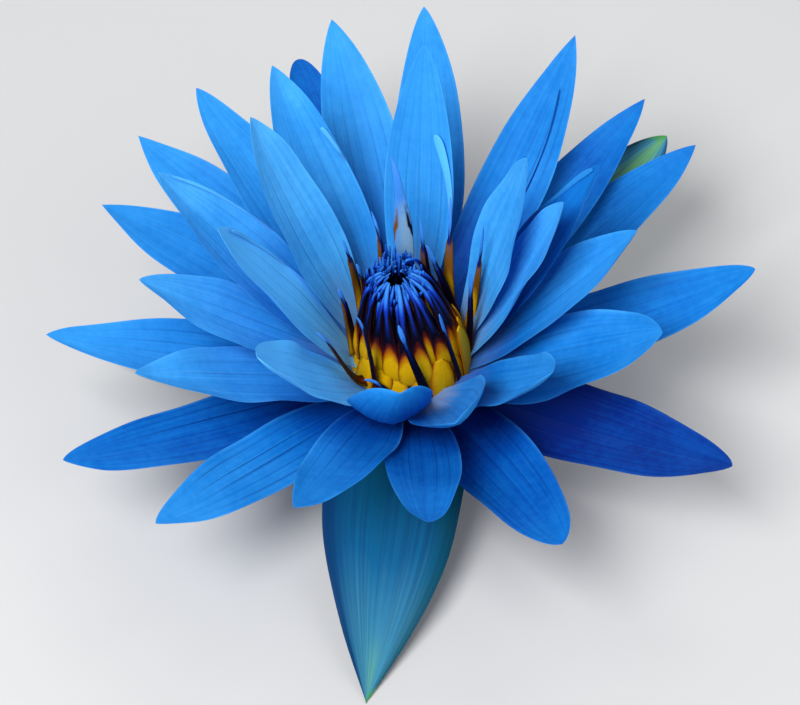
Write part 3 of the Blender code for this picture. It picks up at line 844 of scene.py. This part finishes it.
def stigma_finish():
    """Stigma skin: moist golden yellow with a fine grain."""
    net = Net("stigma")
    grain = net.noise(net.place(), 1200.0, 3.0)
    base = net.mix((0.6, 0.36, 0.02), (0.8, 0.55, 0.08), grain + 0.5)
    net.bump(grain, 0.6, 0.0002)
    return net.finish(base, grain * 0.2 + 0.35, specular=0.5)


def smoothed(stations, shares, rows):
    """Station values carried to evenly spaced rows: straight between stations, then rounded off twice."""
    places = np.linspace(0.0, 1.0, rows)
    grid = np.stack([np.interp(places, shares, line) for line in np.atleast_2d(stations)])
    for _ in range(2):
        grid[:, 1:-1] = 0.25 * grid[:, :-2] + 0.5 * grid[:, 1:-1] + 0.25 * grid[:, 2:]
    return grid


def strap_rings(path, widths, depths, turned=0.0):
    """Rings of straps along their paths: ellipses whose flat side faces the flower's axis.

    path holds straps by rows by xyz about the bloom's axis. The long half axis of each ellipse is square to
    the path and to the outward direction at the root, and the short half axis is square to both. turned then
    turns both about the path, by an angle in radians.
    """
    along = unit(np.gradient(path, axis=1))
    outward = unit(path[:, :1] * np.array([1.0, 1.0, 0.0]))
    side = unit(np.cross(along, outward))
    face = np.cross(side, along)
    cosine, sine = np.reshape([np.cos(turned), np.sin(turned)], (2, -1, 1, 1))
    side, face = side * cosine + face * sine, face * cosine - side * sine
    turn = circle(STRAP_AROUND)
    wide = side[:, :, None] * (widths[..., None] * np.cos(turn))[..., None]
    deep = face[:, :, None] * (depths[..., None] * np.sin(turn))[..., None]
    return path[:, :, None] + wide + deep


def polar(angle, radius, height):
    """Points at angles clockwise from the back, radii and heights."""
    return np.stack([radius * np.sin(angle), radius * np.cos(angle), height], -1)


def strap_values(along, gold, cream):
    """The numbers that the stamens' finish reads, for straps whose places along are given for each row."""
    turn = circle(STRAP_AROUND)
    return {
        "along": along[:, :, None],
        "face": np.sin(turn)[None, None],
        "across": np.cos(turn)[None, None],
        "gold": np.reshape(gold, (-1, 1, 1)),
        "cream": np.reshape(cream, (-1, 1, 1)),
    }


def cone_straps(layer, draw):
    """Straps of one layer of the cone, from flat scales at the root to thin tips round the crater."""
    count, inset, top, girth = layer
    shares = (0.0, 0.12, 0.3, 0.55, 0.8, 0.93, 1.0)
    heights = smoothed((0.0, 0.14, 0.34, 0.62, 0.87, 0.97, 1.0), shares, CONE_ROWS)
    radii = smoothed((11.6, 11.9, 11.0, 9.2, 7.2, 5.4, 3.6), shares, CONE_ROWS) * MM * inset
    widths = smoothed((1.9, 2.3, 1.9, 1.1, 0.6, 0.5, 0.25), shares, CONE_ROWS) * MM * girth
    depths = smoothed((0.45, 0.5, 0.45, 0.45, 0.45, 0.4, 0.2), shares, CONE_ROWS) * MM
    share = np.linspace(0.0, 1.0, CONE_ROWS)
    each = (count, 1)
    angle = 2.0 * math.pi * (np.arange(count)[:, None] + draw.uniform(-0.22, 0.22, each)) / count
    height = heights * CONE_HEIGHT * top * draw.uniform(0.93, 1.07, each)
    radius = radii * draw.uniform(0.96, 1.04, each)
    twist = draw.uniform(-0.2, 0.2, each) * share**2
    path = polar(angle + twist, radius, RECEPTACLE_TOP + 0.9 * MM + height)
    path += CRATER_LEAN * ((height / CONE_HEIGHT) ** 1.3)[..., None]
    along = share * draw.uniform(0.9, 1.09, each) + draw.uniform(-0.03, 0.03, each)
    return strap_rings(path, widths, depths), along


def crater_tips(draw):
    """Short spikes that stand in a jumble round the crater."""
    each = (CRATER_TIPS, 1)
    share = np.linspace(0.0, 1.0, CONE_ROWS)
    angle = 2.0 * math.pi * (np.arange(CRATER_TIPS)[:, None] + draw.uniform(-0.4, 0.4, each)) / CRATER_TIPS
    start = draw.uniform(3.0, 6.7, each) * MM
    reach = draw.uniform(-2.0, 0.8, each) * MM
    tall = draw.uniform(1.8, 4.4, each) * MM * (1.15 + 0.45 * np.cos(angle + 0.6))
    level = CONE_HEIGHT * 0.92 + RECEPTACLE_TOP - 0.2 * (6.6 * MM - start)
    path = polar(angle, start + reach * share**1.6, level + tall * share) + CRATER_LEAN
    widths = smoothed((0.42, 0.42, 0.34, 0.12), (0.0, 0.4, 0.75, 1.0), CONE_ROWS) * MM
    along = 0.7 + 0.27 * share * draw.uniform(0.6, 1.3, each)
    return strap_rings(path, widths, 0.8 * widths), along


def colour_run(places, colours):
    """Stops of a ramp."""
    return list(zip(places, colours, strict=True))


def turned_profile(heights, radii, rows, around):
    """Heights and radii of a smooth profile on rows, with the angles of the places round it."""
    shares = np.linspace(0.0, 1.0, len(heights))
    height, radius = smoothed((heights, radii), shares, rows)[..., None]
    return height, radius, circle(around)


class WATERLILY_OT_stalk(bpy.types.Operator):
    """Builds the stub of stalk and the receptacle that the blades grow from"""

    bl_idname = "waterlily.stalk"
    bl_label = "Stalk and receptacle"

    def execute(self, context):
        """The skin is a profile of radii and heights turned about the axis, with soft ribs on the stub."""
        heights = (-14.0, -13.9, -13.4, -9.0, -6.0, -4.4, -3.0, -2.2, -1.4, 3.0, 8.0, 8.5, 8.6)
        radii = (5.2, 5.7, 5.9, 5.8, 5.9, 7.5, 10.8, 12.4, 12.8, 12.8, 12.7, 12.3, 11.8)
        height, radius, turn = turned_profile(heights, radii, 90, 128)
        ribs = 0.12 * np.cos(8.0 * turn) * np.clip((-height - 4.0) / 3.0, 0.0, 1.0)
        grid = polar(turn, (radius + ribs) * MM, height * MM + 0.0 * turn) + BLOOM
        mesh = skins_mesh("fine_stalk", grid[None], {})
        add_piece("fine_stalk", mesh, stalk_finish(), "stalk", "stalk_and_receptacle")
        return {"FINISHED"}


class WATERLILY_OT_sepals(bpy.types.Operator):
    """Builds the four sepals, blue-green with dark lines and green edges"""

    bl_idname = "waterlily.sepals"
    bl_label = "Sepals"

    def execute(self, context):
        sizes = context.scene.lily_blades
        material = sepal_finish(context.scene.lily_sepals)
        for number, (node, blade) in enumerate(SEPALS.items(), start=90):
            height = SEPAL_ROOT_HEIGHT + blade.lift * MM
            mesh = blade_mesh("fine_" + node, blade, height, sizes.sepal_thickness, sizes, number)
            add_piece("fine_" + node, mesh, material, "sepal", node)
        return {"FINISHED"}


def add_whorl(context, whorl, blades, root_shade, tip_gain, first):
    """A whorl of petals. The steeper a petal stands, the higher its root sits on the receptacle."""
    sizes = context.scene.lily_blades
    material = petal_finish(f"{whorl} petal", root_shade, tip_gain, context.scene.lily_petals)
    for number, blade in enumerate(blades, start=1):
        node = f"petal_{whorl}_{number:02d}"
        height = ROOT_STEP_PER_DEGREE * blade.rise + blade.lift * MM
        folds = FOLDS.get(node, ())
        mesh = blade_mesh("fine_" + node, blade, height, sizes.petal_thickness, sizes, first + number, folds)
        add_piece("fine_" + node, mesh, material, f"petal_{whorl}", node)
    return {"FINISHED"}


class WATERLILY_OT_outer_petals(bpy.types.Operator):
    """Builds the low, widest spread whorl of petals"""

    bl_idname = "waterlily.outer_petals"
    bl_label = "Outer petals"

    def execute(self, context):
        return add_whorl(context, "outer", OUTER_PETALS, 0.45, 0.06, 0)


class WATERLILY_OT_middle_petals(bpy.types.Operator):
    """Builds the whorl of petals between the outer and the inner one"""

    bl_idname = "waterlily.middle_petals"
    bl_label = "Middle petals"

    def execute(self, context):
        return add_whorl(context, "middle", MIDDLE_PETALS, 0.35, 0.04, 30)


class WATERLILY_OT_inner_petals(bpy.types.Operator):
    """Builds the steep whorl of petals round the stamens"""

    bl_idname = "waterlily.inner_petals"
    bl_label = "Inner petals"

    def execute(self, context):
        return add_whorl(context, "inner", INNER_PETALS, 0.02, 0.06, 60)


class WATERLILY_OT_stigma(bpy.types.Operator):
    """Builds the shallow dish of rays at the heart of the flower"""

    bl_idname = "waterlily.stigma"
    bl_label = "Stigma disc"

    def execute(self, context):
        """The skin is a profile of radii and heights turned about the axis, raised along rays."""
        heights = (0.3, 0.35, 1.5, 1.95, 1.75, 1.25, 1.1, 1.1, 1.35, 1.75, 1.8, 1.9)
        radii = (8.0, 8.2, 8.2, 8.0, 7.3, 6.0, 4.6, 3.2, 2.2, 1.6, 1.2, 0.5)
        height, radius, turn = turned_profile(heights, radii, 60, 144)
        rays = 0.18 * np.cos(18.0 * turn) * np.clip((radius - 2.0) / 2.0, 0.0, 1.0) * (height > 1.0)
        grid = polar(turn, radius * MM, RECEPTACLE_TOP + (height + rays) * MM) + BLOOM
        mesh = skins_mesh("fine_stigma", grid[None], {})
        add_piece("fine_stigma", mesh, stigma_finish(), "stigma", "stigma_disc")
        return {"FINISHED"}


class WATERLILY_OT_inner_stamens(bpy.types.Operator):
    """Builds the cone of stamens round the crater, yellow at the root, dark above and blue at the tips"""

    bl_idname = "waterlily.inner_stamens"
    bl_label = "Inner stamens"

    def execute(self, context):
        look = context.scene.lily_stamens
        draw = np.random.default_rng(11)
        groups = [cone_straps(layer, draw) for layer in CONE_LAYERS] + [crater_tips(draw)]
        rings, along = (np.concatenate(parts) for parts in zip(*groups))
        mesh = skins_mesh("fine_stamens_inner", rings + BLOOM, strap_values(along, 0.0, 0.0))
        colours = (
            look.yellow, look.orange, look.red, look.violet, look.violet, look.purple, look.blue, look.pale
        )
        stops = colour_run((0.28, 0.36, 0.41, 0.46, 0.68, 0.77, 0.86, 0.99), colours)
        material = stamen_finish("inner stamen", look, stops, stops)
        add_piece("fine_stamens_inner", mesh, material, "stamen_inner", "stamens_inner")
        return {"FINISHED"}


class WATERLILY_OT_outer_stamens(bpy.types.Operator):
    """Builds the upright outer stamens, each with a flat golden anther and a thin blue tip"""

    bl_idname = "waterlily.outer_stamens"
    bl_label = "Outer stamens"

    def execute(self, context):
        look = context.scene.lily_stamens
        rings, along, gold, cream = self.ring()
        scales, scales_along = self.scales()
        none = [0.0] * len(scales)
        values = strap_values(np.concatenate([along, scales_along]), [*gold, *none], [*cream, *none])
        mesh = skins_mesh("fine_stamens_outer", np.concatenate([rings, scales]) + BLOOM, values)
        dark = (look.yellow, look.orange, look.red, look.violet, look.violet, look.pale)
        golden = (look.yellow, look.gold, look.gold, look.violet, look.violet, look.pale)
        back = colour_run((0.14, 0.2, 0.26, 0.34, 0.6, 0.68), dark)
        front = colour_run((0.28, 0.42, 0.56, 0.6, 0.66, 0.7), golden)
        material = stamen_finish("outer stamen", look, back, front)
        add_piece("fine_stamens_outer", mesh, material, "stamen_outer", "stamens_outer")
        return {"FINISHED"}

    def ring(self):
        """Each path runs out by a power of its share, and up by a sine, a line or something between."""
        table = np.array([astuple(stamen) for stamen in RING_STAMENS])
        columns = np.hsplit(table, table.shape[1])
        root, tip, reach, height, width, gold, thin, tip_width = columns[:8]
        bow, straight, base, foot, turned, cream = columns[8:]
        share = np.linspace(0.0, 1.0, RING_ROWS)[None]
        turn = (tip - root + 180.0) % 360.0 - 180.0
        angle = np.radians(root + turn * share)
        radius = base + (reach - base) * share**bow
        grown = (1.0 - straight) * np.sin(0.5 * math.pi * share) ** 0.95 + straight * share
        level = RECEPTACLE_TOP / MM + foot + (height - foot) * grown
        path = polar(angle, radius * MM, level * MM)
        start = 0.24 * (1.0 - gold) * (1.0 - cream)
        lower = start + share * (0.64 - start) / (1.0 - thin)
        along = np.where(share < 1.0 - thin, lower, 1.0 - (1.0 - share) * 0.36 / thin)
        shares = (0.0, 0.15, 0.4, 0.6, 0.68, 0.9, 1.0)
        slim = np.interp(along, shares, (1.0, 1.15, 0.85, 0.6, 0.0, 0.0, 0.0))
        slim = np.maximum(slim, tip_width * np.interp(along, shares, (1.0, 1.0, 1.0, 1.0, 1.0, 0.9, 0.25)))
        broad = np.interp(along, (0.0, 0.3, 0.46, 0.6, 0.8, 1.0), (0.8, 1.0, 0.95, 0.5, 0.35, 0.04))
        widths = (slim + (broad - slim) * cream) * 0.5 * width * MM
        depths = np.interp(along, shares, (0.4, 0.35, 0.3, 0.3, 0.28, 0.26, 0.1)) * MM
        return strap_rings(path, widths, depths, np.radians(turned)), along, gold.ravel(), cream.ravel()

    def scales(self):
        """Short broad roots that cover the rim of the receptacle, as scales do."""
        draw = np.random.default_rng(5)
        each = (ROOT_SCALES, 1)
        number = np.arange(ROOT_SCALES)[:, None]
        share = np.linspace(0.0, 1.0, RING_ROWS)[None]
        angle = 2.0 * math.pi * (number + draw.uniform(-0.15, 0.15, each)) / ROOT_SCALES
        to_the_right = np.clip(np.sin(angle), 0.0, 1.0)
        tall = draw.uniform(7.5, 11.0, each) + 5.0 * to_the_right**2
        radius = 13.35 - 2.6 * share**2 + np.where(number % 2, 0.2, -0.2)
        path = polar(angle, radius * MM, (3.5 + tall * share) * MM)
        shares = (0.0, 0.25, 0.6, 0.85, 1.0)
        widths = smoothed((2.4, 2.8, 2.8, 2.3, 1.0), shares, RING_ROWS) * MM * draw.uniform(0.9, 1.2, each)
        depths = smoothed((0.2, 0.4, 0.4, 0.35, 0.15), shares, RING_ROWS) * MM
        along = 0.1 * share**1.5 * draw.uniform(0.9, 1.1, each)
        return strap_rings(path, widths, depths), along


class WATERLILY_OT_stage(bpy.types.Operator):
    """Adds the pale floor, the soft lights and the camera"""

    bl_idname = "waterlily.stage"
    bl_label = "Stage"

    def execute(self, context):
        stage = context.scene.lily_stage
        self.add_floor(stage)
        self.add_light("key", (-0.35, -0.45, 0.8), 0.5, 12.5)
        self.add_light("fill", (0.7, -0.35, 0.5), 0.8, 3.2)
        self.add_light("rear", (0.1, 0.8, 0.6), 0.6, 3.0)
        self.add_sky()
        self.add_camera(context, stage)
        context.scene.view_settings.view_transform = "Standard"
        return {"FINISHED"}

    def add_floor(self, stage):
        half = 3.0
        mesh = bpy.data.meshes.new("floor")
        corners = [(-half, -half, 0.0), (half, -half, 0.0), (half, half, 0.0), (-half, half, 0.0)]
        mesh.from_pydata(corners, [], [(0, 1, 2, 3)])
        net = Net("floor")
        mesh.materials.append(net.finish((*stage.floor, 1.0), 0.6))
        add_object("floor", mesh)

    def add_light(self, name, place, size, power):
        lamp = bpy.data.lights.new(name, "AREA")
        lamp.size = size
        lamp.energy = power
        light = add_object(name, lamp)
        light.location = place
        aside, behind, above = np.array(place) - LIT_POINT
        tilt = math.atan2(math.hypot(aside, behind), above)
        light.rotation_euler = (tilt, 0.0, math.atan2(-aside, behind) + math.pi)

    def add_sky(self):
        world = bpy.data.worlds.new("soft sky")
        world.use_nodes = True
        sky = world.node_tree.nodes["Background"]
        sky.inputs["Color"].default_value = (0.9, 0.94, 1.0, 1.0)
        sky.inputs["Strength"].default_value = 0.3
        bpy.context.scene.world = world

    def add_camera(self, context, stage):
        """The camera looks along the elevation, moved sideways and up in its own picture plane."""
        lens = bpy.data.cameras.new("camera")
        lens.lens = stage.lens
        lens.clip_start = 0.01
        camera = add_object("camera", lens)
        cosine, sine = math.cos(stage.elevation), math.sin(stage.elevation)
        back = np.array([0.0, -cosine, sine])
        up = np.array([0.0, sine, cosine])
        right = np.array([1.0, 0.0, 0.0])
        camera.location = BLOOM + stage.distance * back - stage.shift_right * right + stage.shift_up * up
        camera.rotation_euler = (0.5 * math.pi - stage.elevation, 0.0, 0.0)
        context.scene.camera = camera


class WATERLILY_PT_panel(bpy.types.Panel):
    """The sizes, the colours and a button for each group of pieces"""

    bl_idname = "WATERLILY_PT_panel"
    bl_label = "Blue water lily"
    bl_space_type = "VIEW_3D"
    bl_region_type = "UI"
    bl_category = "Water lily"

    def draw(self, context):
        for title, settings in SETTINGS.items():
            box = self.layout.box()
            box.label(text=title)
            group = getattr(context.scene, settings[0])
            for name in settings[1].__annotations__:
                box.prop(group, name)
        for operator in OPERATORS:
            self.layout.operator(operator.bl_idname)


SETTINGS = {
    "Blades": ("lily_blades", LilyBladeSizes),
    "Petal colours": ("lily_petals", LilyPetalColours),
    "Sepal colours": ("lily_sepals", LilySepalColours),
    "Stamens": ("lily_stamens", LilyStamenLook),
    "Stage": ("lily_stage", LilyStage),
}
OPERATORS = (
    WATERLILY_OT_stalk,
    WATERLILY_OT_sepals,
    WATERLILY_OT_outer_petals,
    WATERLILY_OT_middle_petals,
    WATERLILY_OT_inner_petals,
    WATERLILY_OT_stigma,
    WATERLILY_OT_inner_stamens,
    WATERLILY_OT_outer_stamens,
    WATERLILY_OT_stage,
)


def register():
    for name, group in SETTINGS.values():
        bpy.utils.register_class(group)
        setattr(bpy.types.Scene, name, bpy.props.PointerProperty(type=group))
    for operator in OPERATORS:
        bpy.utils.register_class(operator)
    bpy.utils.register_class(WATERLILY_PT_panel)


def unregister():
    bpy.utils.unregister_class(WATERLILY_PT_panel)
    for operator in reversed(OPERATORS):
        bpy.utils.unregister_class(operator)
    for name, group in reversed(SETTINGS.values()):
        delattr(bpy.types.Scene, name)
        bpy.utils.unregister_class(group)


def main():
    """Registers the add-on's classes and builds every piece."""
    register()
    for operator in OPERATORS:
        family, name = operator.bl_idname.split(".")
        getattr(getattr(bpy.ops, family), name)()
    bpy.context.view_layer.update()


if __name__ == "__main__":
    main()
